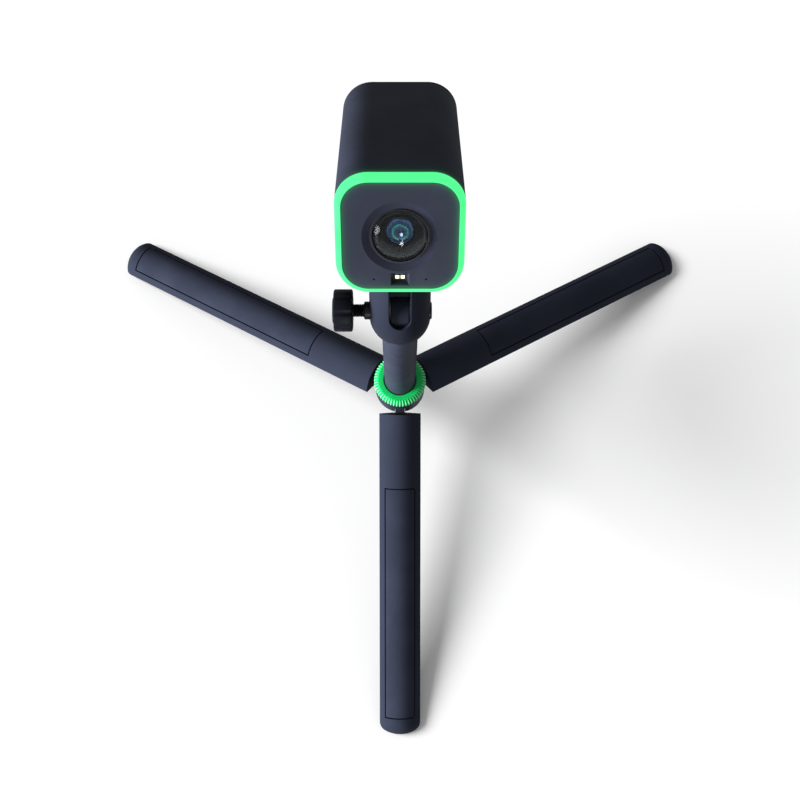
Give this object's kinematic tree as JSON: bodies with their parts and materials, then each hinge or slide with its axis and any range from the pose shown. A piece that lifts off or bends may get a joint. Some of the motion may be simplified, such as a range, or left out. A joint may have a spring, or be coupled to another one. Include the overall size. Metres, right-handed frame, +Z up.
{
  "type": "webcam on tripod",
  "caption": "Box-shaped webcam with a glowing front ring on a clamped tilt head, over a column and a tripod whose sector legs fold into a round handle.",
  "frame": {"origin": "on the floor, at the middle of the open object's footprint", "axes": "+Z up, the camera faces -Y, the clamp knob is on -X, the three legs are at -90, 30 and 150 degrees round the hub"},
  "size_m": [0.3136, 0.2742, 0.2804],
  "materials": {
    "hub_paint": "satin powder coat",
    "steel": "turned",
    "acetal": "natural",
    "ring_green": "moulded, glossy",
    "column_paint": "satin powder coat",
    "housing_dark": "fine spark texture",
    "black_steel": "black oxide",
    "rubber_black": "moulded",
    "knob_black": "satin",
    "casing": "fine spark texture",
    "brass": "turned",
    "glow": "translucent, lit green",
    "face": "smooth satin",
    "dome_glass": "polished",
    "lens_black": "anti-reflection black",
    "coated_glass": "coated",
    "circuit_board": "solder mask",
    "sensor_face": "die behind glass",
    "led_white": "encapsulated",
    "led_warm": "encapsulated, lit",
    "mic_metal": "tinned",
    "chip_black": "moulded epoxy",
    "heat_sink_metal": "extruded",
    "cable_film": "polyimide film",
    "leg_casing": "fine spark texture",
    "leg_inlay": "soft touch",
    "tongue_metal": "black, die cast"
  },
  "bodies": {
    "hub": {"hub_body": "hub_paint", "hub_base": "hub_paint", "hub_base_screws": "steel", "leg_hinge_pins": "steel", "pan_screw": "steel", "pan_washers": "acetal"},
    "lock_ring": {"lock_ring": "ring_green"},
    "column": {"column_tube": "column_paint", "column_foot": "acetal", "column_head": "housing_dark"},
    "head": {"tilt_housing": "housing_dark", "friction_washers": "acetal", "side_collar": "black_steel", "cap_nut": "black_steel", "head_plate": "housing_dark", "plate_screws": "steel", "plate_pad": "rubber_black", "camera_screw": "steel", "body_shell": "casing", "tripod_insert": "brass", "light_ring": "glow", "front_bezel": "face", "rear_cover": "casing", "case_screws": "black_steel", "lens_dome": "dome_glass", "lens_retainer": "lens_black", "lens_barrel": "lens_black", "front_element": "coated_glass", "rear_elements": "coated_glass", "aperture_stop": "lens_black", "sensor_board": "circuit_board", "image_sensor": "sensor_face", "sensor_holder": "lens_black", "front_board": "circuit_board", "ring_leds": "led_white", "flash_leds": "led_warm", "microphones": "mic_metal", "main_board": "circuit_board", "board_chips": "chip_black", "heat_sink": "heat_sink_metal", "usb_c_receptacle": "mic_metal", "sensor_cable": "cable_film"},
    "clamp_knob": {"knob_grip": "knob_black", "knob_cap": "knob_black", "clamp_bolt": "black_steel"},
    "leg_front": {"leg_front_shell": "leg_casing", "leg_front_panel": "leg_inlay", "leg_front_tongue": "tongue_metal", "leg_front_screws": "steel", "leg_front_foot": "rubber_black"},
    "leg_right": {"leg_right_shell": "leg_casing", "leg_right_panel": "leg_inlay", "leg_right_tongue": "tongue_metal", "leg_right_screws": "steel", "leg_right_foot": "rubber_black"},
    "leg_left": {"leg_left_shell": "leg_casing", "leg_left_panel": "leg_inlay", "leg_left_tongue": "tongue_metal", "leg_left_screws": "steel", "leg_left_foot": "rubber_black"}
  },
  "joints": [
    {"name": "leg_front_fold", "type": "hinge", "parent": "hub", "child": "leg_front", "pos_m": [0, 0.03493, 0.05652], "axis": [1, 0, 0], "range_deg": [0, 72.5]},
    {"name": "leg_right_fold", "type": "hinge", "parent": "hub", "child": "leg_right", "pos_m": [0.0055, 0.04447, 0.05652], "axis": [-0.5, 0.866, 0], "range_deg": [0, 72.5]},
    {"name": "leg_left_fold", "type": "hinge", "parent": "hub", "child": "leg_left", "pos_m": [-0.0055, 0.04447, 0.05652], "axis": [-0.5, -0.866, 0], "range_deg": [0, 72.5]},
    {"name": "lock_ring_turn", "type": "hinge", "parent": "hub", "child": "lock_ring", "pos_m": [0, 0.04129, 0.0715], "axis": [0, 0, 1], "range_deg": [0, 120]},
    {"name": "column_pan", "type": "hinge", "parent": "hub", "child": "column", "pos_m": [0, 0.04129, 0.0715], "axis": [0, 0, 1], "continuous": true},
    {"name": "head_tilt", "type": "hinge", "parent": "column", "child": "head", "pos_m": [0, 0.04129, 0.2046], "axis": [-1, 0, 0], "range_deg": [-54.5, 45.5]},
    {"name": "clamp_knob_turn", "type": "hinge", "parent": "head", "child": "clamp_knob", "pos_m": [0, 0.04129, 0.2046], "axis": [-1, 0, 0], "range_deg": [0, 540]}
  ]
}
